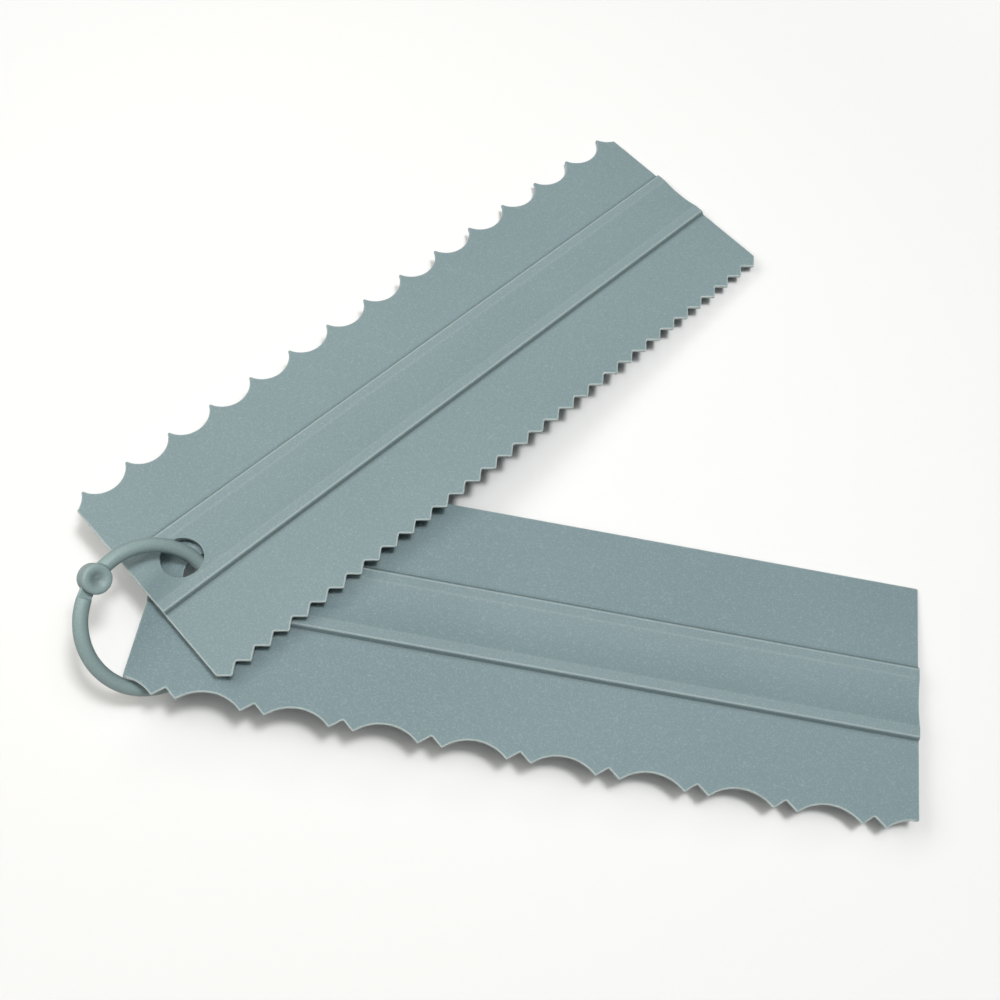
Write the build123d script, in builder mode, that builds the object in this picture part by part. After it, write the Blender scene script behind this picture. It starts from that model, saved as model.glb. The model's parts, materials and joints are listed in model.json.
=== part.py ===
from build123d import *
from math import cos, hypot, radians, sin, sqrt
import os

# A pair of icing smoothers: two thin plastic combs that fan out on one snap ring.
# Millimetres, +Z up. The origin is the middle of the whole outline, on the worktop.

# Sizes that both combs share
comb_length = 228.6
comb_width = 76.2
comb_thickness = 1.0
cut_overrun = 3.0

# Hole for the ring, and the raised grip band that runs the whole length on its centre line
hole_radius = 6.35
hole_from_end = 14.2
band_offset = 0.5
band_half_width = 11.55
band_flank_run = 0.8
band_land_width = 3.15
band_crest_round = 0.6
band_height = 1.18
band_floor_height = 0.3
band_root_depth = 0.5

# Upper comb: a zigzag edge near the viewer, scallops on the far edge
tooth_count = 34
tooth_depth = 3.0
tooth_tip_flat = 0.25
scallop_tip_count = 15
scallop_tip_from_end = 4.75
scallop_depth = 5.0
scallop_tip_flat = 0.4

# Lower comb: arches with a small V between them near the viewer, a straight far edge
cell_count = 9
notch_half_width = 3.43
notch_depth = 2.9
arch_depth = 4.1

# Snap ring: round wire, closed by a button that clips through an eyelet
wire_radius = 2.15
ring_rise = 2.2
wire_from_hole_along = -1.0
wire_from_hole_across = 1.8
corner_gap = 0.9
ring_inside_edge = 2.8
upper_hole_along = 2.45
upper_hole_across = -1.4
tongue_radius = 2.0
button_radius = 4.4
button_top = 3.0
button_underside = 0.75
button_rim = 1.1
button_dish_depth = 0.9
button_bevel = 0.5
stud_radius = 1.5
stud_clearance = 0.2
stud_end = 2.9
stud_head_radius = 1.8
stud_head_height = 0.8
eyelet_radius = 4.3
eyelet_top = 0.5
eyelet_bottom = 1.9

# How the three pieces lie: heights of the corners above the worktop, and angles in degrees
lower_end_lift = 10.0
lower_near_lift = 7.0
upper_near_lift = 3.0
lower_heading = -6.03
fan_angle = 51.95
ring_lean = 44.6
upper_comb_at = 14.4
button_at = 105.5
neck_start_at = 122.5
tongue_end_at = 114.0

# Distances from the hole's centre to the four sides of a comb
reach_end = hole_from_end
reach_free = comb_length - hole_from_end
reach_near = comb_width / 2 + band_offset
reach_far = comb_width / 2 - band_offset
half_thickness = comb_thickness / 2


def chord_radius(width, depth):
    """Radius of the arc that is this wide at the edge and this deep."""
    return ((width / 2) ** 2 + depth**2) / (2 * depth)


def resting_plane(origin, heading, drop_along, drop_across):
    """Plane of a comb's underside: x runs to the free end, y to the far edge."""
    along = Vector(sqrt(1 - drop_along**2), 0, -drop_along)
    across = Vector(0, sqrt(1 - drop_across**2), -drop_across)
    across = (across - along * along.dot(across)).normalized()
    along = along.rotate(Axis.Z, heading)
    across = across.rotate(Axis.Z, heading)
    return Plane(origin=origin, x_dir=along, z_dir=along.cross(across))


def to_world(plane, x, y, z):
    """The world point of a point given on a plane."""
    return plane.origin + plane.x_dir * x + plane.y_dir * y + plane.z_dir * z


# Lower comb: its far free corner touches the worktop and the ring holds the other end up
lower_drop_along = lower_end_lift / comb_length
lower_drop_across = lower_near_lift / comb_width
level = resting_plane(Vector(0, 0, 0), lower_heading, lower_drop_along, lower_drop_across)
lower_height = -to_world(level, reach_free, reach_far, 0).Z
lower_plane = resting_plane(
    Vector(0, 0, lower_height), lower_heading, lower_drop_along, lower_drop_across
)

# Ring: it goes down through the lower comb's hole and comes up outside its near corner
wire_in = Vector(wire_from_hole_along, wire_from_hole_across, half_thickness)
wire_out = Vector(
    -reach_end - wire_radius / sin(radians(ring_lean)) - corner_gap,
    -reach_near + ring_inside_edge,
    half_thickness,
)
chord = (wire_out - wire_in).normalized()
axis_in_comb = Vector(0, 0, 1).rotate(Axis((0, 0, 0), chord), -ring_lean)
upward = chord.cross(axis_in_comb)
centre_in_comb = (wire_in + wire_out) * 0.5 + upward * ring_rise
ring_radius = hypot((wire_out - wire_in).length / 2, ring_rise)
ring_centre = to_world(lower_plane, *centre_in_comb)
ring_axis_dir = to_world(lower_plane, *axis_in_comb) - lower_plane.origin
ring_plane = Plane(
    origin=ring_centre,
    x_dir=to_world(lower_plane, *wire_in) - ring_centre,
    z_dir=ring_axis_dir,
)
ring_axis = Axis(ring_plane.origin, ring_plane.z_dir)


def on_ring(angle, radius=None, height=0):
    """World point at an angle round the ring, counted from the lower comb's hole."""
    r = ring_radius if radius is None else radius
    return to_world(ring_plane, r * cos(radians(angle)), r * sin(radians(angle)), height)


def wire_plane(angle):
    """Plane square to the wire at an angle round the ring."""
    radial = on_ring(angle) - ring_plane.origin
    return Plane(origin=on_ring(angle), x_dir=radial, z_dir=ring_plane.z_dir.cross(radial))


# Upper comb: threaded on the ring a little higher up, its far free corner on the worktop.
# The last scallop runs off that corner, so the corner is a little short of the full width
scallop_pitch = (comb_length - 2 * scallop_tip_from_end) / (scallop_tip_count - 1)
scallop_radius = chord_radius(scallop_pitch - scallop_tip_flat, scallop_depth)
scallop_past_end = scallop_pitch / 2 - scallop_tip_from_end
corner_cut = scallop_depth - scallop_radius + sqrt(scallop_radius**2 - scallop_past_end**2)
wire_at_upper = on_ring(upper_comb_at)
upper_heading = lower_heading + fan_angle
upper_drop_across = upper_near_lift / comb_width
corner_along = reach_free - upper_hole_along
corner_across = reach_far - corner_cut - upper_hole_across
upper_drop_along = (
    wire_at_upper.Z - half_thickness - corner_across * upper_drop_across
) / corner_along
upper_level = resting_plane(wire_at_upper, upper_heading, upper_drop_along, upper_drop_across)
upper_plane = resting_plane(
    to_world(upper_level, -upper_hole_along, -upper_hole_across, -half_thickness),
    upper_heading,
    upper_drop_along,
    upper_drop_across,
)


def edge_plane(comb, across):
    """A comb's plane moved to the middle of one of its long edges."""
    return comb.shift_origin(to_world(comb, (reach_free - reach_end) / 2, across, 0))


def band_section(comb):
    """Section of the raised band at the ring end: two flat lands with a shallow trough."""
    land_outer = band_half_width - band_flank_run
    land_inner = land_outer - band_land_width
    crest = comb_thickness + band_height
    floor = comb_thickness + band_floor_height
    root = comb_thickness - band_root_depth
    plane = Plane(
        origin=to_world(comb, -reach_end, 0, 0), x_dir=comb.y_dir, z_dir=comb.x_dir
    )
    with BuildSketch(plane) as section:
        with BuildLine():
            Polyline(
                (-land_inner, crest),
                (-land_outer, crest),
                (-band_half_width, comb_thickness),
                (-band_half_width, root),
                (band_half_width, root),
                (band_half_width, comb_thickness),
                (land_outer, crest),
                (land_inner, crest),
            )
            ThreePointArc((land_inner, crest), (0, floor), (-land_inner, crest))
        make_face()
        crest_corners = section.vertices().group_by(Axis.Y)[-1].sort_by(Axis.X)
        fillet([crest_corners[0], crest_corners[-1]], radius=band_crest_round)
    return section.sketch


def notch_points(half_width, depth):
    """A V that opens past the edge, drawn about the edge line, point upwards."""
    mouth = half_width * (1 + cut_overrun / depth)
    return [(-mouth, -cut_overrun), (mouth, -cut_overrun), (0, depth)]


# Comb with a zigzag edge and a scalloped edge
tooth_pitch = comb_length / tooth_count
tooth_half_width = (tooth_pitch - tooth_tip_flat) / 2

with BuildPart(upper_plane) as scallop_zigzag_comb:
    with BuildSketch(edge_plane(upper_plane, -band_offset)):
        Rectangle(comb_length, comb_width)
        with Locations((0, -comb_width / 2)):
            with GridLocations(tooth_pitch, 0, tooth_count + 1, 1):
                Polygon(*notch_points(tooth_half_width, tooth_depth), align=None, mode=Mode.SUBTRACT)
        with Locations((0, comb_width / 2 + scallop_radius - scallop_depth)):
            with GridLocations(scallop_pitch, 0, scallop_tip_count + 1, 1):
                Circle(scallop_radius, mode=Mode.SUBTRACT)
    extrude(amount=comb_thickness)
    extrude(band_section(upper_plane), amount=comb_length)
    with BuildSketch(upper_plane):
        Circle(hole_radius)
    extrude(amount=comb_thickness + band_height + cut_overrun, both=True, mode=Mode.SUBTRACT)

# Comb with an arched edge and a straight edge
cell_pitch = comb_length / cell_count
arch_radius = chord_radius(cell_pitch - 2 * notch_half_width, arch_depth)

with BuildPart(lower_plane) as arch_notch_comb:
    with BuildSketch(edge_plane(lower_plane, -band_offset)):
        Rectangle(comb_length, comb_width)
        with Locations((0, -comb_width / 2)):
            with GridLocations(cell_pitch, 0, cell_count, 1):
                Polygon(*notch_points(notch_half_width, notch_depth), align=None, mode=Mode.SUBTRACT)
        with Locations((0, -comb_width / 2 - arch_radius + arch_depth)):
            with GridLocations(cell_pitch, 0, cell_count + 1, 1):
                Circle(arch_radius, mode=Mode.SUBTRACT)
    extrude(amount=comb_thickness)
    extrude(band_section(lower_plane), amount=comb_length)
    with BuildSketch(lower_plane):
        Circle(hole_radius)
    extrude(amount=comb_thickness + band_height + cut_overrun, both=True, mode=Mode.SUBTRACT)

# One-piece snap ring. Both ends of the wire meet at the button: the upper end carries the
# button and its stud, and the lower end thins to a tongue with an eyelet that clips on the stud
button_centre = on_ring(button_at)
button_radial = button_centre - ring_plane.origin
button_axis = Axis(button_centre, ring_plane.z_dir)
button_section = Plane(
    origin=button_centre, x_dir=button_radial, z_dir=button_radial.cross(ring_plane.z_dir)
)
button_seat = Plane(origin=button_centre, x_dir=button_radial, z_dir=ring_plane.z_dir)
dish_radius = button_radius - button_rim
eyelet_thickness = eyelet_top + eyelet_bottom

with BuildPart() as snap_ring:
    # Wire, from the step at the tongue the long way round to the button
    with BuildSketch(wire_plane(neck_start_at)):
        Circle(wire_radius)
    revolve(axis=ring_axis, revolution_arc=360 - (neck_start_at - button_at))
    # Room under the button for the eyelet
    with BuildSketch(button_seat.offset(button_underside)):
        Circle(eyelet_radius + stud_clearance)
    extrude(amount=-wire_radius - button_underside - cut_overrun, mode=Mode.SUBTRACT)
    # Button with its dished face, and the stud with its snap head
    with BuildSketch(button_section):
        with BuildLine():
            Polyline(
                (0, button_top - button_dish_depth),
                (0, -stud_end),
                (stud_radius, -stud_end),
                (stud_head_radius, -stud_end + stud_head_height / 2),
                (stud_radius, -stud_end + stud_head_height),
                (stud_radius, button_underside),
                (button_radius - button_bevel, button_underside),
                (button_radius, button_underside + button_bevel),
                (button_radius, button_top - button_bevel),
                (button_radius - button_bevel, button_top),
                (dish_radius, button_top),
            )
            TangentArc(
                (0, button_top - button_dish_depth),
                (dish_radius, button_top),
                tangent=(1, 0),
            )
        make_face()
    revolve(axis=button_axis)
    # Tongue: round like the wire, but flat on top, so that it passes under the button
    with BuildSketch(wire_plane(neck_start_at)):
        Circle(tongue_radius)
        with Locations((0, -eyelet_top - tongue_radius)):
            Rectangle(2 * tongue_radius, 2 * tongue_radius, mode=Mode.SUBTRACT)
    revolve(axis=ring_axis, revolution_arc=tongue_end_at - neck_start_at)
    # Eyelet round the stud
    with BuildSketch(button_seat.offset(-eyelet_bottom)):
        Circle(eyelet_radius)
        Circle(stud_radius + stud_clearance, mode=Mode.SUBTRACT)
    extrude(amount=eyelet_thickness)

# The origin goes to the middle of the outline, on the worktop
pieces = {
    "scallop_zigzag_comb": scallop_zigzag_comb,
    "arch_notch_comb": arch_notch_comb,
    "snap_ring": snap_ring,
}
outline = Compound([piece.part for piece in pieces.values()]).bounding_box()
to_origin = Location((-outline.center().X, -outline.center().Y, -outline.min.Z))

os.makedirs("parts", exist_ok=True)
for name, piece in pieces.items():
    piece.part = piece.part.moved(to_origin)
    piece.part.label = name
    export_step(piece.part, f"parts/{name}.step")
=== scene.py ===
import bpy
import json
import math
import numpy as np
from mathutils import Matrix, Vector
from mathutils.geometry import delaunay_2d_cdt


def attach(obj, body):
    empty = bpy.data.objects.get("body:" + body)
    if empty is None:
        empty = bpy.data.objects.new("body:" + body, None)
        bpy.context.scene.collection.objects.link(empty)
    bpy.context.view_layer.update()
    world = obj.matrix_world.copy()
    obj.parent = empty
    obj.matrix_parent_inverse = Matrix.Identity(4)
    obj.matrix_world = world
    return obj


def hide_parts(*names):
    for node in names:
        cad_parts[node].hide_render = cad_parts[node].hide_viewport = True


# Looks of a pair of icing smoothers on a snap ring. Metres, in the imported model's frame.
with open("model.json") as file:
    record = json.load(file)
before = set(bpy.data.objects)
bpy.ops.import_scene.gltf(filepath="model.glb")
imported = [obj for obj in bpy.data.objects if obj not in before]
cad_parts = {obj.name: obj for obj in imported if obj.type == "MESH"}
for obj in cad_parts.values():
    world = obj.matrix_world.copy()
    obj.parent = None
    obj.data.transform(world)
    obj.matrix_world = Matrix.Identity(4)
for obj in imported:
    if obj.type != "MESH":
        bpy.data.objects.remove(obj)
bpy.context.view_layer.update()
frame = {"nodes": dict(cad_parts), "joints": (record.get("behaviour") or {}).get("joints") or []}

MM = 0.001
TINY = 1e-20

# How a comb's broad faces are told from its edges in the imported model: twice the area of
# their triangles, the share of it that faces up, and degrees off level for the underside
BROAD_FACE = 20 * MM**2
BROAD_FACE_UP = 0.3
UNDERSIDE_WITHIN = 10

# Sizes that both combs share, in millimetres, as the solids have them
COMB_LENGTH = 228.6
COMB_WIDTH = 76.2
COMB_THICKNESS = 1.0
HOLE_RADIUS = 6.35
HOLE_FROM_END = 14.2
BAND_OFFSET = 0.5
BAND_HALF_WIDTH = 11.55
BAND_FLANK_RUN = 0.8
BAND_LAND_WIDTH = 3.15
BAND_HEIGHT = 1.18
BAND_FLOOR_HEIGHT = 0.3
REACH_END = HOLE_FROM_END
REACH_FREE = COMB_LENGTH - HOLE_FROM_END
REACH_NEAR = COMB_WIDTH / 2 + BAND_OFFSET
REACH_FAR = COMB_WIDTH / 2 - BAND_OFFSET

# Edge patterns
TOOTH_COUNT = 34
TOOTH_DEPTH = 3.0
SCALLOP_TIPS = 15
SCALLOP_TIP_TO_END = 4.75
SCALLOP_DEPTH = 5.0
SCALLOP_TIP_FLAT = 0.6
CELL_COUNT = 9
NOTCH_HALF_WIDTH = 3.43
NOTCH_DEPTH = 2.9
ARCH_DEPTH = 3.75

# Rounding that a moulding has on its edges, in millimetres
EDGE_ROUND = 0.28
CORNER_ROUND = 0.6
CREST_ROUND = 0.4
ROOT_ROUND = 0.2

# A corner that turns by fewer degrees stays sharp, and its arc takes up no more than this
# share of either side
ROUNDED_TURN = 25
ROUNDED_SHARE = 0.42

# The least cosine of half a corner's turn that an inset loop is mitred for
MITRE_LIMIT = 0.35

# Painted highlights, a paler colour where light would catch on the edges, on the band's crests
# and on its lands: strength from 0 to 1, and how far in from the edge they reach
EDGE_PALE_REACH = 0.55
END_ZONE = 1.0
LAND_EDGE = 0.3
PALE_NEAR_EDGE = 0.9
PALE_FAR_EDGE = 0.3
PALE_HOLE = 0.2
PALE_CREST = 0.35
PALE_LAND = 0.045
PALE_LAND_EDGE = 0.12

# Painted shade at the roots of the band's flanks and in the button's dish: strength from 0 to 1,
# and how far out they reach
SHADE_REACH = 1.1
DISH_SHADE_REACH = 2.6
SHADE_NEAR_FLANK = 0.45
SHADE_FAR_FLANK = 0.38
SHADE_DISH = 0.35

# How finely curves are cut up
ARC_STEPS = 14
HOLE_STEPS = 72
ROUND_STEPS = 4
TROUGH_STEPS = 10
WIRE_STEPS = 40
RING_STEPS = 200
TONGUE_WIDTH_STEPS = 30
TONGUE_LENGTH_STEPS = 16
EYELET_STEPS = 64
BUTTON_STEPS = 96
DISH_STEPS = 13
BUTTON_ROUND_STEPS = 6
BUTTON_LOWER_STEPS = 3
SAME_POINT = 1e-5

# Snap ring, in millimetres and in degrees round it, counted from the button
WIRE_RADIUS = 2.15
BUTTON_RADIUS = 4.4
BUTTON_TOP = 3.0
BUTTON_UNDERSIDE = 0.75
BUTTON_RIM = 1.15
BUTTON_DISH = 1.15
BUTTON_ROUND = 0.9
BUTTON_LOWER_ROUND = 0.2
STUD_RADIUS = 1.5
STUD_END = 2.9
STUD_HEAD_RADIUS = 1.8
STUD_HEAD_HEIGHT = 0.8
STUD_CLEARANCE = 0.3
TONGUE_RADIUS = 2.05
TONGUE_END = 8.5
TONGUE_IN_NECK = 2
EYELET_RADIUS = 4.3
EYELET_TOP = 0.5
EYELET_BOTTOM = 1.9
NECK_START = 17.0
RING_VOXEL = 0.17
RING_SMOOTHING = 0.5
RING_SMOOTH_ROUNDS = 5
CROWN_DEPTH = 0.05


def triangles(node):
    """Corners of a node's triangles, as an array, in metres."""
    mesh = frame["nodes"][node].data
    mesh.calc_loop_triangles()
    points = np.array([v.co[:] for v in mesh.vertices])
    return points[np.array([t.vertices[:] for t in mesh.loop_triangles])]


def facing(corners, guess, within):
    """Mean normal of the triangles that face within some degrees of a guess."""
    cross = np.cross(corners[:, 1] - corners[:, 0], corners[:, 2] - corners[:, 0])
    size = np.linalg.norm(cross, axis=1)
    unit = cross / np.maximum(size, TINY)[:, None]
    near = unit @ guess > math.cos(math.radians(within))
    mean = cross[near].sum(0)
    return mean / np.linalg.norm(mean)


def from_axes(x, y, z, origin):
    """Matrix of a frame with these axes and this origin."""
    rows = [(x[r], y[r], z[r], origin[r]) for r in range(3)]
    return Matrix((*rows, (0, 0, 0, 1)))


def comb_place(node):
    """Matrix of a comb: its hole's centre on the underside, x to the free end, z up."""
    corners = triangles(node)
    points = corners.reshape(-1, 3)
    up = -facing(corners, np.array([0.0, 0.0, -1.0]), UNDERSIDE_WITHIN)
    centred = points - points.mean(0)
    long_way = np.linalg.svd(centred, full_matrices=False)[2][0]
    cross = np.cross(corners[:, 1] - corners[:, 0], corners[:, 2] - corners[:, 0])
    size = np.linalg.norm(cross, axis=1)
    broad = (size > BROAD_FACE) & (np.abs(cross @ up) > BROAD_FACE_UP * size)
    along = np.linalg.svd(cross[broad])[2][-1]
    along = along * np.sign(along @ long_way) * np.sign(long_way[0])
    across = np.cross(up, along)
    x = (points @ along).min() + REACH_END * MM
    y = (points @ across).max() - REACH_FAR * MM
    z = (points @ up).min()
    return from_axes(along, across, up, along * x + across * y + up * z)


def arc_points(centre, radius, start, end, steps):
    """Points on an arc, in plan, with both ends. Angles in radians."""
    turn = np.linspace(start, end, steps + 1)
    return [(centre[0] + radius * math.cos(a), centre[1] + radius * math.sin(a)) for a in turn]


def chord_radius(width, depth):
    """Radius of the arc that is this wide at the edge and this deep."""
    return ((width / 2) ** 2 + depth**2) / (2 * depth)


def clip_ends(points):
    """Cut an edge's points, given left to right, at the comb's two ends."""
    low, high = -REACH_END, REACH_FREE
    kept = []
    for (ax, ay), (bx, by) in zip(points[:-1], points[1:]):
        if bx <= low or ax >= high:
            continue
        for limit in (low, high):
            if ax < limit < bx:
                share = (limit - ax) / (bx - ax)
                cut = (limit, ay + share * (by - ay))
                if limit == low:
                    ax, ay = cut
                else:
                    bx, by = cut
        if not kept:
            kept.append((ax, ay))
        kept.append((bx, by))
    return kept


def zigzag_edge():
    """Near edge of the upper comb, left to right: tips at the middle of each tooth."""
    pitch = COMB_LENGTH / TOOTH_COUNT
    edge = -REACH_NEAR
    points = [(-REACH_END, edge + TOOTH_DEPTH)]
    for tooth in range(TOOTH_COUNT):
        middle = -REACH_END + (tooth + 0.5) * pitch
        points += [(middle, edge), (middle + pitch / 2, edge + TOOTH_DEPTH)]
    return points


def scallop_edge():
    """Far edge of the upper comb, left to right."""
    pitch = (COMB_LENGTH - 2 * SCALLOP_TIP_TO_END) / (SCALLOP_TIPS - 1)
    radius = chord_radius(pitch - SCALLOP_TIP_FLAT, SCALLOP_DEPTH)
    spread = math.asin((pitch - SCALLOP_TIP_FLAT) / 2 / radius)
    first = -REACH_END + SCALLOP_TIP_TO_END - pitch / 2
    points = []
    for scallop in range(SCALLOP_TIPS + 1):
        centre = (first + scallop * pitch, REACH_FAR + radius - SCALLOP_DEPTH)
        down = -math.pi / 2
        points += arc_points(centre, radius, down - spread, down + spread, ARC_STEPS)
    return clip_ends(points)


def arch_edge():
    """Near edge of the lower comb, left to right: arches with a V notch between them."""
    pitch = COMB_LENGTH / CELL_COUNT
    radius = chord_radius(pitch - 2 * NOTCH_HALF_WIDTH, ARCH_DEPTH)
    spread = math.asin((pitch / 2 - NOTCH_HALF_WIDTH) / radius)
    edge = -REACH_NEAR
    points = []
    for arch in range(CELL_COUNT + 1):
        middle = -REACH_END + arch * pitch
        up = math.pi / 2
        centre = (middle, edge - radius + ARCH_DEPTH)
        points += arc_points(centre, radius, up + spread, up - spread, ARC_STEPS)
        if arch < CELL_COUNT:
            points.append((middle + pitch / 2, edge + NOTCH_DEPTH))
    return clip_ends(points)


def straight_edge():
    """Far edge of the lower comb."""
    return [(-REACH_END, REACH_FAR), (REACH_FREE, REACH_FAR)]


def softened(points, radius):
    """A closed outline with each clear corner turned into a small arc."""
    out = []
    count = len(points)
    for i in range(count):
        before, here, after = (np.array(points[k % count]) for k in (i - 1, i, i + 1))
        a, b = before - here, after - here
        la, lb = np.linalg.norm(a), np.linalg.norm(b)
        turn = math.pi - math.acos(max(-1.0, min(1.0, float(a @ b / (la * lb)))))
        if turn < math.radians(ROUNDED_TURN):
            out.append(tuple(here))
            continue
        reach = min(radius * math.tan(turn / 2), ROUNDED_SHARE * la, ROUNDED_SHARE * lb)
        start, end = here + a / la * reach, here + b / lb * reach
        for share in np.linspace(0, 1, ROUND_STEPS + 1):
            point = (1 - share) ** 2 * start + 2 * share * (1 - share) * here + share**2 * end
            out.append(tuple(point))
    return out


def moved_in(points, amount):
    """The outline moved inwards by an amount, corner to corner."""
    p = np.array(points)
    step = np.roll(p, -1, axis=0) - p
    normal = np.stack([step[:, 1], -step[:, 0]], axis=1)
    normal /= np.linalg.norm(normal, axis=1)[:, None]
    before = np.roll(normal, 1, axis=0)
    middle = normal + before
    middle /= np.linalg.norm(middle, axis=1)[:, None]
    reach = amount / np.maximum((middle * normal).sum(1), MITRE_LIMIT)
    return p - middle * reach[:, None]


def edge_distance(points, outlines):
    """Distance of each point to the nearest outline."""
    best = np.full(len(points), np.inf)
    for outline in outlines:
        a = np.array(outline)
        b = np.roll(a, -1, axis=0)
        for i in range(len(a)):
            run = b[i] - a[i]
            share = ((points - a[i]) @ run / (run @ run)).clip(0, 1)
            gap = np.linalg.norm(points - a[i] - share[:, None] * run, axis=1)
            best = np.minimum(best, gap)
    return best


def bend(start, corner, end, share):
    """A point on the small curve that rounds a corner."""
    a, b, c = (1 - share) ** 2, 2 * share * (1 - share), share**2
    return (a * start[0] + b * corner[0] + c * end[0], a * start[1] + b * corner[1] + c * end[1])


def band_profile():
    """The band's section from its middle outwards: distance across, height, painted highlight,
    painted shade.
    """
    land_outer = BAND_HALF_WIDTH - BAND_FLANK_RUN
    land_inner = land_outer - BAND_LAND_WIDTH
    crest = COMB_THICKNESS + BAND_HEIGHT
    floor = COMB_THICKNESS + BAND_FLOOR_HEIGHT
    rise = crest - floor
    radius = (land_inner**2 + rise**2) / (2 * rise)
    trough = [
        (y, floor + radius - math.sqrt(radius**2 - y**2), 0, 0)
        for y in np.linspace(0, land_inner, TROUGH_STEPS + 1)
    ]
    corner = (land_outer, crest)
    foot = (BAND_HALF_WIDTH, COMB_THICKNESS)
    flank = math.hypot(BAND_FLANK_RUN, BAND_HEIGHT)
    slope = (BAND_FLANK_RUN / flank, -BAND_HEIGHT / flank)
    # Painted highlight on the lands and along their inner edge
    trough[-1] = (land_inner, crest, PALE_LAND_EDGE, 0)
    profile = [
        *trough,
        (land_inner + LAND_EDGE, crest, PALE_LAND, 0),
        (land_outer - CREST_ROUND - LAND_EDGE, crest, PALE_LAND, 0),
    ]
    shares = np.linspace(0, 1, ROUND_STEPS + 1)
    # Painted highlight on the crest's rounding, giving way to painted shade down the flank
    start = (land_outer - CREST_ROUND, crest)
    end = (land_outer + slope[0] * CREST_ROUND, crest + slope[1] * CREST_ROUND)
    for share in shares:
        place = bend(start, corner, end, share)
        profile.append((*place, PALE_CREST * (1 - share), share / 2))
    # Painted shade at the flank's root, fading out across the plate
    start = (foot[0] - slope[0] * ROOT_ROUND, foot[1] - slope[1] * ROOT_ROUND)
    end = (foot[0] + ROOT_ROUND, foot[1])
    for share in shares:
        profile.append((*bend(start, foot, end, share), 0, 1 - share / 4))
    profile.append((foot[0] + SHADE_REACH, COMB_THICKNESS, 0, 0))
    profile.append((REACH_NEAR + COMB_WIDTH, COMB_THICKNESS, 0, 0))
    return profile


def edge_drop(gap):
    """How far the face falls away where its edge is rounded."""
    inside = np.clip(EDGE_ROUND - gap, 0, EDGE_ROUND)
    return EDGE_ROUND - np.sqrt(EDGE_ROUND**2 - inside**2)


def inside_outline(points, outline):
    """Which points lie inside a closed outline."""
    x, y = points[:, 0], points[:, 1]
    inside = np.zeros(len(points), bool)
    a = np.array(outline)
    b = np.roll(a, 1, axis=0)
    for (ax, ay), (bx, by) in zip(a, b):
        crosses = (ay > y) != (by > y)
        if not crosses.any() or ay == by:
            continue
        inside ^= crosses & (x < (bx - ax) * (y - ay) / (by - ay) + ax)
    return inside


def comb_mesh(name, near_edge, far_edge, pale_ring_end):
    """A comb's closed mesh, in its own millimetre frame."""
    outline = softened(near_edge + far_edge[::-1], CORNER_ROUND)
    hole = arc_points((0, 0), HOLE_RADIUS, 2 * math.pi, 0, HOLE_STEPS)[:-1]
    loops = [outline, hole]
    across, height, crest_pale, painted_shade = np.array(band_profile()).T

    points, edges = [], []

    def add_loop(loop, closed=True):
        start = len(points)
        points.extend(tuple(p) for p in loop)
        count = len(loop)
        last = count if closed else count - 1
        edges.extend((start + k, start + (k + 1) % count) for k in range(last))

    insets = []
    for step in range(ROUND_STEPS + 1):
        insets.append(EDGE_ROUND * (1 - math.cos(step / ROUND_STEPS * math.pi / 2)))
    insets.append(EDGE_PALE_REACH)
    for loop in loops:
        for inset in insets:
            add_loop(moved_in(loop, inset))
    for y in across[:-1]:
        for side in (1, -1):
            add_loop([(-REACH_END, side * y), (REACH_FREE, side * y)], closed=False)
    flat, _, faces, *_ = delaunay_2d_cdt([Vector(p) for p in points], edges, [], 0, SAME_POINT)
    flat = np.array([v[:] for v in flat])
    faces = np.array(faces)
    middle = flat[faces].mean(1)
    keep = inside_outline(middle, outline) & ~inside_outline(middle, hole)
    faces = faces[keep]

    outer_gap, hole_gap = (edge_distance(flat, [loop]) for loop in loops)
    gap = np.minimum(outer_gap, hole_gap)
    drop = edge_drop(gap)
    top = np.interp(np.abs(flat[:, 1]), across, height) - drop
    count = len(flat)
    upper = np.column_stack([flat, top])
    lower = np.column_stack([flat, drop])
    corners = np.concatenate([upper, lower])
    shell = [tuple(f) for f in faces] + [tuple(f[::-1] + count) for f in faces]
    border = {}
    for a, b, c in faces:
        for pair in ((a, b), (b, c), (c, a)):
            border[pair] = True
    for a, b in list(border):
        if (b, a) not in border:
            shell += [(b, a, a + count), (b, a + count, b + count)]
    used = np.unique(np.array([i for f in shell for i in f]))
    renumber = -np.ones(len(corners), int)
    renumber[used] = np.arange(len(used))
    shell = [tuple(int(renumber[i]) for i in f) for f in shell]
    mesh = bpy.data.meshes.new(name)
    mesh.from_pydata([tuple(p) for p in corners[used]], [], shell)
    # Painted highlight along the outline and round the hole, strongest on the near edges
    amount = np.where(flat[:, 1] < 0, PALE_NEAR_EDGE, PALE_FAR_EDGE)
    amount[flat[:, 0] > REACH_FREE - END_ZONE] = PALE_FAR_EDGE
    amount[flat[:, 0] < END_ZONE - REACH_END] = pale_ring_end
    amount[hole_gap < outer_gap] = PALE_HOLE
    rim_pale = amount * np.clip(1 - gap / EDGE_PALE_REACH, 0, 1)
    away = np.abs(flat[:, 1])
    top_pale = np.maximum(rim_pale, np.interp(away, across, crest_pale))
    # Painted shade at the roots of the band's flanks, stronger on the near side
    depth = np.where(flat[:, 1] < 0, SHADE_NEAR_FLANK, SHADE_FAR_FLANK)
    top_shade = depth * np.interp(away, across, painted_shade)
    for label, top_value, under in (
        ("painted_highlight", top_pale, rim_pale), ("painted_shade", top_shade, 0 * rim_pale)
    ):
        values = np.concatenate([top_value, under])[used]
        mesh.attributes.new(label, "FLOAT", "POINT").data.foreach_set("value", values)
    return mesh


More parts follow.
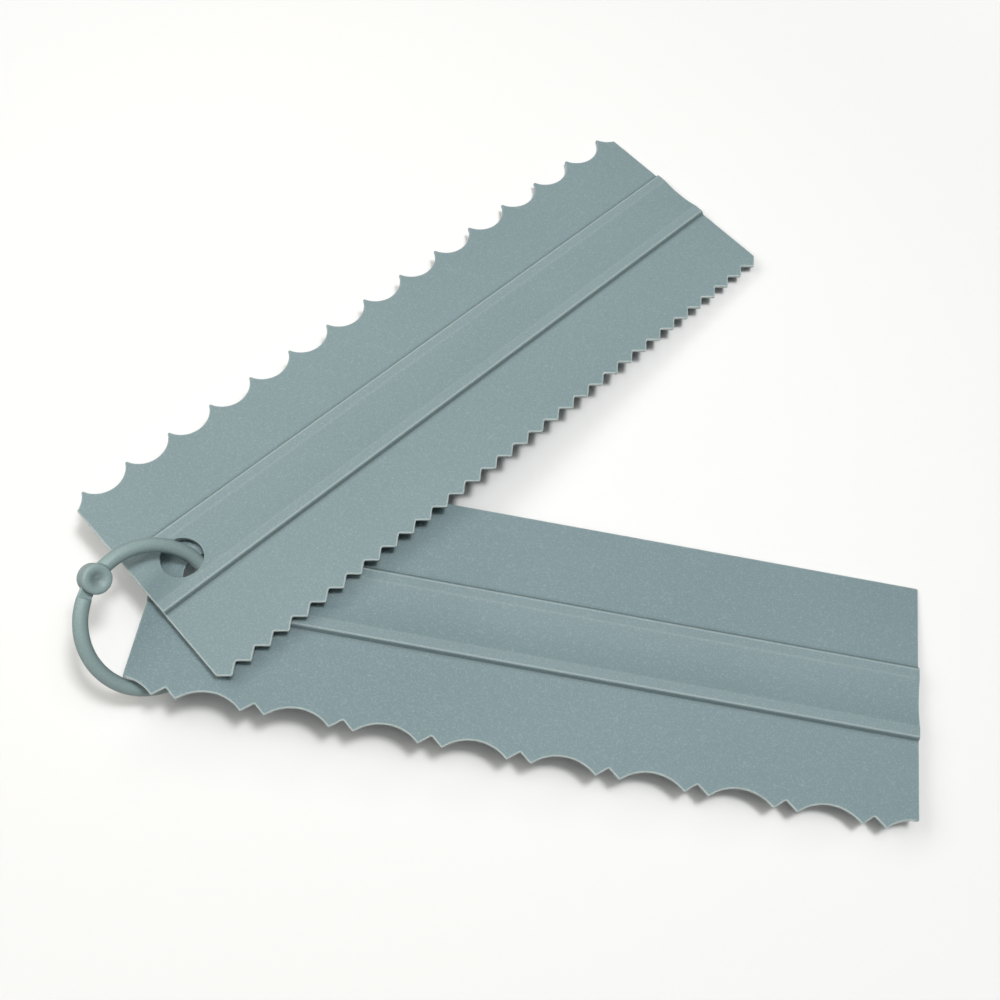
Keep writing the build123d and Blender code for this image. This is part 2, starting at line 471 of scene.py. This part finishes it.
def even_normals(mesh):
    """Shade smoothly, with each vertex normal led by its largest faces."""
    points = np.array([v.co[:] for v in mesh.vertices])
    mesh.calc_loop_triangles()
    tris = np.array([t.vertices[:] for t in mesh.loop_triangles])
    a, b, c = (points[tris[:, k]] for k in range(3))
    cross = np.cross(b - a, c - a)
    total = np.zeros_like(points)
    for k in range(3):
        np.add.at(total, tris[:, k], cross)
    total /= np.maximum(np.linalg.norm(total, axis=1), TINY)[:, None]
    for polygon in mesh.polygons:
        polygon.use_smooth = True
    mesh.normals_split_custom_set_from_vertices([tuple(n) for n in total])


def add_piece(name, mesh, place, body, node, material):
    """Put a finished mesh in place and let it stand for its CAD node."""
    mesh.transform(place @ Matrix.Scale(MM, 4))
    mesh.update()
    piece = bpy.data.objects.new(name, mesh)
    bpy.context.scene.collection.objects.link(piece)
    mesh.materials.append(material)
    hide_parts(node)
    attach(piece, body)


def grid_mesh(rows, close_rows, close_columns):
    """Vertices and quads of a grid of points, closed round either way."""
    count, width = len(rows), len(rows[0])
    vertices = [tuple(p) for row in rows for p in row]
    quads = []
    for r in range(count if close_rows else count - 1):
        for c in range(width if close_columns else width - 1):
            nr, nc = (r + 1) % count, (c + 1) % width
            quads.append((r * width + c, r * width + nc, nr * width + nc, nr * width + c))
    return vertices, quads


def round_the_ring(section, radius, start, end, steps):
    """Closed shell of a section carried round the ring; section is (outwards, up) pairs."""
    rows = []
    for turn in np.linspace(math.radians(start), math.radians(end), steps + 1):
        out, aside = math.cos(turn), math.sin(turn)
        rows.append([((radius + u) * out, (radius + u) * aside, w) for u, w in section])
    vertices, quads = grid_mesh(rows, False, True)
    width = len(section)
    quads.append(tuple(range(width))[::-1])
    quads.append(tuple(range(len(vertices) - width, len(vertices))))
    return vertices, quads


def turned(profile, centre, steps):
    """Closed shell of a profile turned about a line up through a centre; the profile is
    (radius, height) pairs that begin and end on the line."""
    vertices = [(centre, 0.0, profile[0][1]), (centre, 0.0, profile[-1][1])]
    faces = []
    inner = profile[1:-1]
    for radius, height in inner:
        for k in range(steps):
            turn = 2 * math.pi * k / steps
            vertices.append((centre + radius * math.cos(turn), radius * math.sin(turn), height))
    for k in range(steps):
        n = (k + 1) % steps
        faces.append((0, 2 + k, 2 + n))
        last = 2 + (len(inner) - 1) * steps
        faces.append((1, last + n, last + k))
        for r in range(len(inner) - 1):
            a, b = 2 + r * steps, 2 + (r + 1) * steps
            faces.append((a + k, b + k, b + n, a + n))
    return vertices, faces


def button_profile():
    """Half section of the button and its stud, from the dish's middle round to the stud's end."""
    dish = BUTTON_RADIUS - BUTTON_RIM
    points = []
    for r in np.linspace(0, dish, DISH_STEPS + 1):
        dip = BUTTON_DISH * (1 + math.cos(math.pi * r / dish)) / 2
        points.append((r, BUTTON_TOP - dip))
    quarter = math.pi / 2
    top = (BUTTON_RADIUS - BUTTON_ROUND, BUTTON_TOP - BUTTON_ROUND)
    points += arc_points(top, BUTTON_ROUND, quarter, 0, BUTTON_ROUND_STEPS)
    low = (BUTTON_RADIUS - BUTTON_LOWER_ROUND, BUTTON_UNDERSIDE + BUTTON_LOWER_ROUND)
    points += arc_points(low, BUTTON_LOWER_ROUND, 0, -quarter, BUTTON_LOWER_STEPS)
    points += [
        (STUD_RADIUS, BUTTON_UNDERSIDE),
        (STUD_RADIUS, -STUD_END + STUD_HEAD_HEIGHT),
        (STUD_HEAD_RADIUS, -STUD_END + STUD_HEAD_HEIGHT / 2),
        (STUD_RADIUS, -STUD_END),
        (0.0, -STUD_END),
    ]
    return points


def joined(shells):
    """One list of vertices and faces from several."""
    vertices, faces = [], []
    for points, polygons in shells:
        start = len(vertices)
        vertices += points
        faces += [tuple(start + i for i in p) for p in polygons]
    return vertices, faces


def ring_mesh(radius):
    """The ring in its own millimetre frame: x to the button, z along the ring's axis."""
    wire = arc_points((0, 0), WIRE_RADIUS, 0, 2 * math.pi, WIRE_STEPS)[:-1]
    lean = math.asin(EYELET_TOP / TONGUE_RADIUS)
    tongue = arc_points(
        (0, 0), TONGUE_RADIUS, math.pi - lean, 2 * math.pi + lean, TONGUE_WIDTH_STEPS
    )
    eyelet_inner = STUD_RADIUS + STUD_CLEARANCE
    rim = [
        (eyelet_inner, -EYELET_BOTTOM),
        (EYELET_RADIUS, -EYELET_BOTTOM),
        (EYELET_RADIUS, EYELET_TOP),
        (eyelet_inner, EYELET_TOP),
    ]
    rows = []
    for turn in np.linspace(0, 2 * math.pi, EYELET_STEPS, endpoint=False):
        rows.append([(radius + r * math.cos(turn), r * math.sin(turn), z) for r, z in rim])
    shells = [
        round_the_ring(wire, radius, NECK_START, 360, RING_STEPS),
        turned(button_profile(), radius, BUTTON_STEPS),
        round_the_ring(
            tongue, radius, TONGUE_END, NECK_START + TONGUE_IN_NECK, TONGUE_LENGTH_STEPS
        ),
        grid_mesh(rows, True, True),
    ]
    vertices, faces = joined(shells)
    rough = bpy.data.meshes.new("ring_rough")
    rough.from_pydata(vertices, [], faces)
    rough.update()
    return rough


def remeshed(mesh, name):
    """Fuse overlapping shells into one skin with small natural fillets."""
    holder = bpy.data.objects.new(name + "_work", mesh)
    bpy.context.scene.collection.objects.link(holder)
    fuse = holder.modifiers.new("fuse", "REMESH")
    fuse.mode = "VOXEL"
    fuse.voxel_size = RING_VOXEL
    soften = holder.modifiers.new("soften", "SMOOTH")
    soften.factor = RING_SMOOTHING
    soften.iterations = RING_SMOOTH_ROUNDS
    bpy.context.view_layer.update()
    graph = bpy.context.evaluated_depsgraph_get()
    fused = bpy.data.meshes.new_from_object(holder.evaluated_get(graph))
    bpy.data.objects.remove(holder)
    bpy.data.meshes.remove(mesh)
    fused.name = name
    return fused


def linear(colour):
    """A screen colour of 0 to 255 as the linear values that a shader takes."""
    shares = [c / 255 for c in colour]
    return tuple(c / 12.92 if c <= 0.04045 else ((c + 0.055) / 1.055) ** 2.4 for c in shares)


def cleared(owner):
    """The nodes and links of a material or world, emptied."""
    owner.use_nodes = True
    owner.node_tree.nodes.clear()
    return owner.node_tree.nodes, owner.node_tree.links


# Colours
UPPER_TONES = (linear((116, 136, 140)), linear((121, 141, 145)))
# The lower comb is the same plastic as the upper comb; its tones are set darker as painted shade
# for the lesser light on it
LOWER_TONES_PAINTED_DARKER = (linear((108, 129, 134)), linear((113, 134, 139)))
RING_TONES = (linear((135, 156, 156)), linear((140, 162, 162)))
# Pale tone for the painted highlights and the pale specks
PAINTED_HIGHLIGHT_AND_MOTTLE_TONE = linear((186, 196, 194))
# Dark tone for painted shade
PAINTED_SHADE_TONE = linear((70, 82, 84))
FLOOR_TONE = linear((229, 230, 230))
STUDIO_TONE = linear((251, 251, 249))
WORLD_COLOUR = (1.0, 0.965, 0.92)
DAYLIGHT = (1.0, 0.998, 0.99)
WARM = (1.0, 0.97, 0.925)

# Plastic: the noise scales are per metre, and GRAIN_HEIGHT is in millimetres
SPECULAR = 0.35
DRIFT_SCALE = 14.0
DRIFT_DETAIL = 2.0
DRIFT_ROUGHNESS = 0.5
DRIFT_BAND = (0.3, 0.7)
SPECK_SCALE = 1900.0
SPECK_DETAIL = 3.0
SPECK_ROUGHNESS = 0.7
# Pale specks in the colour: partly the plastic's own mottle, partly painted glints
MOTTLE_AND_GLINT_BAND = (0.5, 0.75)
MOTTLE_AND_GLINT_SHARE = 0.3
GRAIN_HEIGHT = 0.07
# Painted shade where a surface is seen edge-on: RIM_BLEND sets how it spreads
RIM_BLEND = 0.35
COMB_LOOK = {"grain": 1.0, "roughness": 0.55, "painted_rim_shade": 0}
RING_LOOK = {"grain": 0.2, "roughness": 0.45, "painted_rim_shade": 0.65}


def plastic(name, tones, grain, roughness, painted_rim_shade):
    """Moulded plastic: a matte grain, a slow drift between two tones, pale specks that are partly
    the plastic's own mottle and partly painted glints, the painted highlights and painted shade
    that the meshes carry, and, by its last argument, painted shade where it is seen edge-on."""
    material = bpy.data.materials.new(name)
    nodes, links = cleared(material)
    out = nodes.new("ShaderNodeOutputMaterial")
    shader = nodes.new("ShaderNodeBsdfPrincipled")
    shader.inputs["Roughness"].default_value = roughness
    shader.inputs["Specular IOR Level"].default_value = SPECULAR
    links.new(shader.outputs["BSDF"], out.inputs["Surface"])
    place = nodes.new("ShaderNodeTexCoord")

    def noise(scale, detail, rough):
        node = nodes.new("ShaderNodeTexNoise")
        node.inputs["Scale"].default_value = scale
        node.inputs["Detail"].default_value = detail
        node.inputs["Roughness"].default_value = rough
        links.new(place.outputs["Object"], node.inputs["Vector"])
        return node.outputs["Fac"]

    def mixed(factor, first, second):
        node = nodes.new("ShaderNodeMix")
        node.data_type = "RGBA"
        links.new(factor, node.inputs["Factor"])
        links.new(first, node.inputs["A"])
        node.inputs["B"].default_value = (*second, 1)
        return node.outputs["Result"]

    drift = noise(DRIFT_SCALE, DRIFT_DETAIL, DRIFT_ROUGHNESS)
    speck = noise(SPECK_SCALE, SPECK_DETAIL, SPECK_ROUGHNESS)
    tone = nodes.new("ShaderNodeValToRGB")
    for stop, position, colour in zip(tone.color_ramp.elements, DRIFT_BAND, tones):
        stop.position = position
        stop.color = (*colour, 1)
    links.new(drift, tone.inputs["Fac"])
    # Pale specks mixed into the colour: the plastic's mottle and painted glints
    mottle_and_glint = nodes.new("ShaderNodeMapRange")
    mottle_and_glint.inputs["From Min"].default_value = MOTTLE_AND_GLINT_BAND[0]
    mottle_and_glint.inputs["From Max"].default_value = MOTTLE_AND_GLINT_BAND[1]
    mottle_and_glint.inputs["To Max"].default_value = MOTTLE_AND_GLINT_SHARE
    links.new(speck, mottle_and_glint.inputs["Value"])
    colour = mixed(mottle_and_glint.outputs["Result"], tone.outputs["Color"], PAINTED_HIGHLIGHT_AND_MOTTLE_TONE)
    # Painted shade, darker where the surface is seen edge-on
    if painted_rim_shade:
        edge_on = nodes.new("ShaderNodeLayerWeight")
        edge_on.inputs["Blend"].default_value = RIM_BLEND
        shade = nodes.new("ShaderNodeMath")
        shade.operation = "MULTIPLY"
        shade.inputs[1].default_value = painted_rim_shade
        links.new(edge_on.outputs["Facing"], shade.inputs[0])
        colour = mixed(shade.outputs[0], colour, PAINTED_SHADE_TONE)
    # Painted shade and painted highlight that the meshes carry as attributes
    for label, tint in (("painted_shade", PAINTED_SHADE_TONE), ("painted_highlight", PAINTED_HIGHLIGHT_AND_MOTTLE_TONE)):
        spread = nodes.new("ShaderNodeAttribute")
        spread.attribute_name = label
        colour = mixed(spread.outputs["Fac"], colour, tint)
    links.new(colour, shader.inputs["Base Color"])
    fine = nodes.new("ShaderNodeBump")
    fine.inputs["Strength"].default_value = grain
    fine.inputs["Distance"].default_value = GRAIN_HEIGHT * MM
    links.new(speck, fine.inputs["Height"])
    links.new(fine.outputs["Normal"], shader.inputs["Normal"])
    return material


upper_plastic = plastic("upper_plastic", UPPER_TONES, **COMB_LOOK)
lower_plastic = plastic("lower_plastic", LOWER_TONES_PAINTED_DARKER, **COMB_LOOK)
ring_plastic = plastic("ring_plastic", RING_TONES, **RING_LOOK)

# Combs
upper = comb_mesh("upper_comb_moulding", zigzag_edge(), scallop_edge(), PALE_NEAR_EDGE)
add_piece("upper_comb_moulding", upper, comb_place("scallop_zigzag_comb"), "upper_comb",
          "scallop_zigzag_comb", upper_plastic)
even_normals(upper)
lower = comb_mesh("lower_comb_moulding", arch_edge(), straight_edge(), PALE_FAR_EDGE)
add_piece("lower_comb_moulding", lower, comb_place("arch_notch_comb"), "lower_comb",
          "arch_notch_comb", lower_plastic)
even_normals(lower)

# Ring: it lies round the axis of its joint, with the button where the solid is highest
turn_joint = next(j for j in frame["joints"] if j["name"] == "ring_turn")
ring_axis = Vector(turn_joint["axis"]).normalized()
ring_centre = Vector(turn_joint["pos_m"])
ring_points = np.array([v.co[:] for v in frame["nodes"]["snap_ring"].data.vertices])
heights = (ring_points - np.array(ring_centre)) @ np.array(ring_axis)
crown = ring_points[heights > heights.max() - CROWN_DEPTH * MM]
to_button = Vector(crown.mean(0)) - ring_centre
to_button -= ring_axis * to_button.dot(ring_axis)
ring_radius = to_button.length / MM
ring_x = to_button.normalized()
ring_y = ring_axis.cross(ring_x)
ring_place = from_axes(ring_x, ring_y, ring_axis, ring_centre)
ring = remeshed(ring_mesh(ring_radius), "snap_ring_moulding")
# Painted shade in the button's dish, darkest at its middle, none below the button's underside
ring_vertices = np.array([v.co[:] for v in ring.vertices])
from_button = np.hypot(ring_vertices[:, 0] - ring_radius, ring_vertices[:, 1])
dish_shade = SHADE_DISH * np.clip(1 - (from_button / DISH_SHADE_REACH) ** 2, 0, 1)
dish_shade[ring_vertices[:, 2] < BUTTON_UNDERSIDE] = 0
ring.attributes.new("painted_shade", "FLOAT", "POINT").data.foreach_set("value", dish_shade)
add_piece("snap_ring_moulding", ring, ring_place, "ring",
          "snap_ring", ring_plastic)
even_normals(ring)

# Floor, which fades into the studio's white away from the part, in millimetres
FLOOR_HALF = 2000 * MM
FADE_START = 150
FADE_END = 320
floor_mesh = bpy.data.meshes.new("floor")
corner_signs = ((-1, -1), (1, -1), (1, 1), (-1, 1))
floor_corners = [(x * FLOOR_HALF, y * FLOOR_HALF, 0) for x, y in corner_signs]
floor_mesh.from_pydata(floor_corners, [], [(0, 1, 2, 3)])
floor = bpy.data.objects.new("floor", floor_mesh)
bpy.context.scene.collection.objects.link(floor)
paint = bpy.data.materials.new("floor_paint")
nodes, links = cleared(paint)
out = nodes.new("ShaderNodeOutputMaterial")
body = nodes.new("ShaderNodeBsdfDiffuse")
body.inputs["Color"].default_value = (*FLOOR_TONE, 1)
haze = nodes.new("ShaderNodeEmission")
haze.inputs["Color"].default_value = (*STUDIO_TONE, 1)
where = nodes.new("ShaderNodeTexCoord")
away = nodes.new("ShaderNodeVectorMath")
away.operation = "LENGTH"
fade = nodes.new("ShaderNodeMapRange")
fade.interpolation_type = "SMOOTHSTEP"
fade.inputs["From Min"].default_value = FADE_START * MM
fade.inputs["From Max"].default_value = FADE_END * MM
blend = nodes.new("ShaderNodeMixShader")
links.new(where.outputs["Object"], away.inputs[0])
links.new(away.outputs["Value"], fade.inputs["Value"])
links.new(fade.outputs["Result"], blend.inputs["Fac"])
links.new(body.outputs[0], blend.inputs[1])
links.new(haze.outputs[0], blend.inputs[2])
links.new(blend.outputs[0], out.inputs["Surface"])
floor_mesh.materials.append(paint)

# World: a weak even light, a little stronger from the left and the back, and a white
# backdrop that only the camera sees
WORLD_STRENGTH = 0.02
WORLD_TO_LEFT = 0.2
WORLD_TO_BACK = 0.35
world = bpy.data.worlds.new("studio")
bpy.context.scene.world = world
nodes, links = cleared(world)
out = nodes.new("ShaderNodeOutputWorld")
way = nodes.new("ShaderNodeTexCoord")
lean = nodes.new("ShaderNodeVectorMath")
lean.operation = "DOT_PRODUCT"
lean.inputs[1].default_value = (-WORLD_TO_LEFT, WORLD_TO_BACK, 0)
links.new(way.outputs["Generated"], lean.inputs[0])
level = nodes.new("ShaderNodeMath")
level.operation = "MULTIPLY_ADD"
level.inputs[1].default_value = WORLD_STRENGTH
level.inputs[2].default_value = WORLD_STRENGTH
links.new(lean.outputs["Value"], level.inputs[0])
soft = nodes.new("ShaderNodeBackground")
soft.inputs["Color"].default_value = (*WORLD_COLOUR, 1)
links.new(level.outputs[0], soft.inputs["Strength"])
bright = nodes.new("ShaderNodeBackground")
bright.inputs["Color"].default_value = (*STUDIO_TONE, 1)
bright.inputs["Strength"].default_value = 1.0
mix = nodes.new("ShaderNodeMixShader")
path = nodes.new("ShaderNodeLightPath")
links.new(path.outputs["Is Camera Ray"], mix.inputs["Fac"])
links.new(soft.outputs[0], mix.inputs[1])
links.new(bright.outputs[0], mix.inputs[2])
links.new(mix.outputs[0], out.inputs["Surface"])

# Lights: a key overhead to the right, a soft box round it, a fill low on the left, a rim light
# behind it and a weak one in front.
# Each is a disk aimed at the origin: name, place and size in mm, power in watts, colour.
LIGHTS = [
    ("key", (212, -12, 1000), 190, 5.5, DAYLIGHT),
    ("soft_box", (150, 0, 1000), 750, 3.5, DAYLIGHT),
    ("fill", (-640, 95, 660), 600, 3.5, WARM),
    ("rim", (-400, 620, 650), 300, 1.1, WARM),
    ("front", (-250, -450, 900), 600, 1.3, WARM),
]
for name, place, size, power, colour in LIGHTS:
    lamp = bpy.data.lights.new(name, "AREA")
    lamp.shape = "DISK"
    lamp.size = size * MM
    lamp.energy = power
    lamp.color = colour
    lamp_object = bpy.data.objects.new(name, lamp)
    lamp_object.location = Vector(place) * MM
    lamp_object.rotation_euler = (-Vector(place)).to_track_quat("-Z", "Y").to_euler()
    bpy.context.scene.collection.objects.link(lamp_object)

# Camera at the photograph's place
CAMERA_PLACE = Vector((-2.73, -169.83, 347.654)) * MM
CAMERA_RIGHT = Vector((0.99783, 0.06070, 0.02540))
CAMERA_FORWARD = Vector((0.0, 0.3863, -0.9224))
CAMERA_LENS = 42.64
SENSOR_WIDTH = 36.0
NEAREST_SEEN = 10 * MM
camera = bpy.data.cameras.new("camera")
camera.lens = CAMERA_LENS
camera.sensor_width = SENSOR_WIDTH
camera.clip_start = NEAREST_SEEN
camera_object = bpy.data.objects.new("camera", camera)
forward = CAMERA_FORWARD.normalized()
right = (CAMERA_RIGHT - forward * CAMERA_RIGHT.dot(forward)).normalized()
camera_object.matrix_world = from_axes(right, right.cross(forward), -forward, CAMERA_PLACE)
bpy.context.scene.collection.objects.link(camera_object)
bpy.context.scene.camera = camera_object
bpy.context.scene.view_settings.view_transform = "Standard"
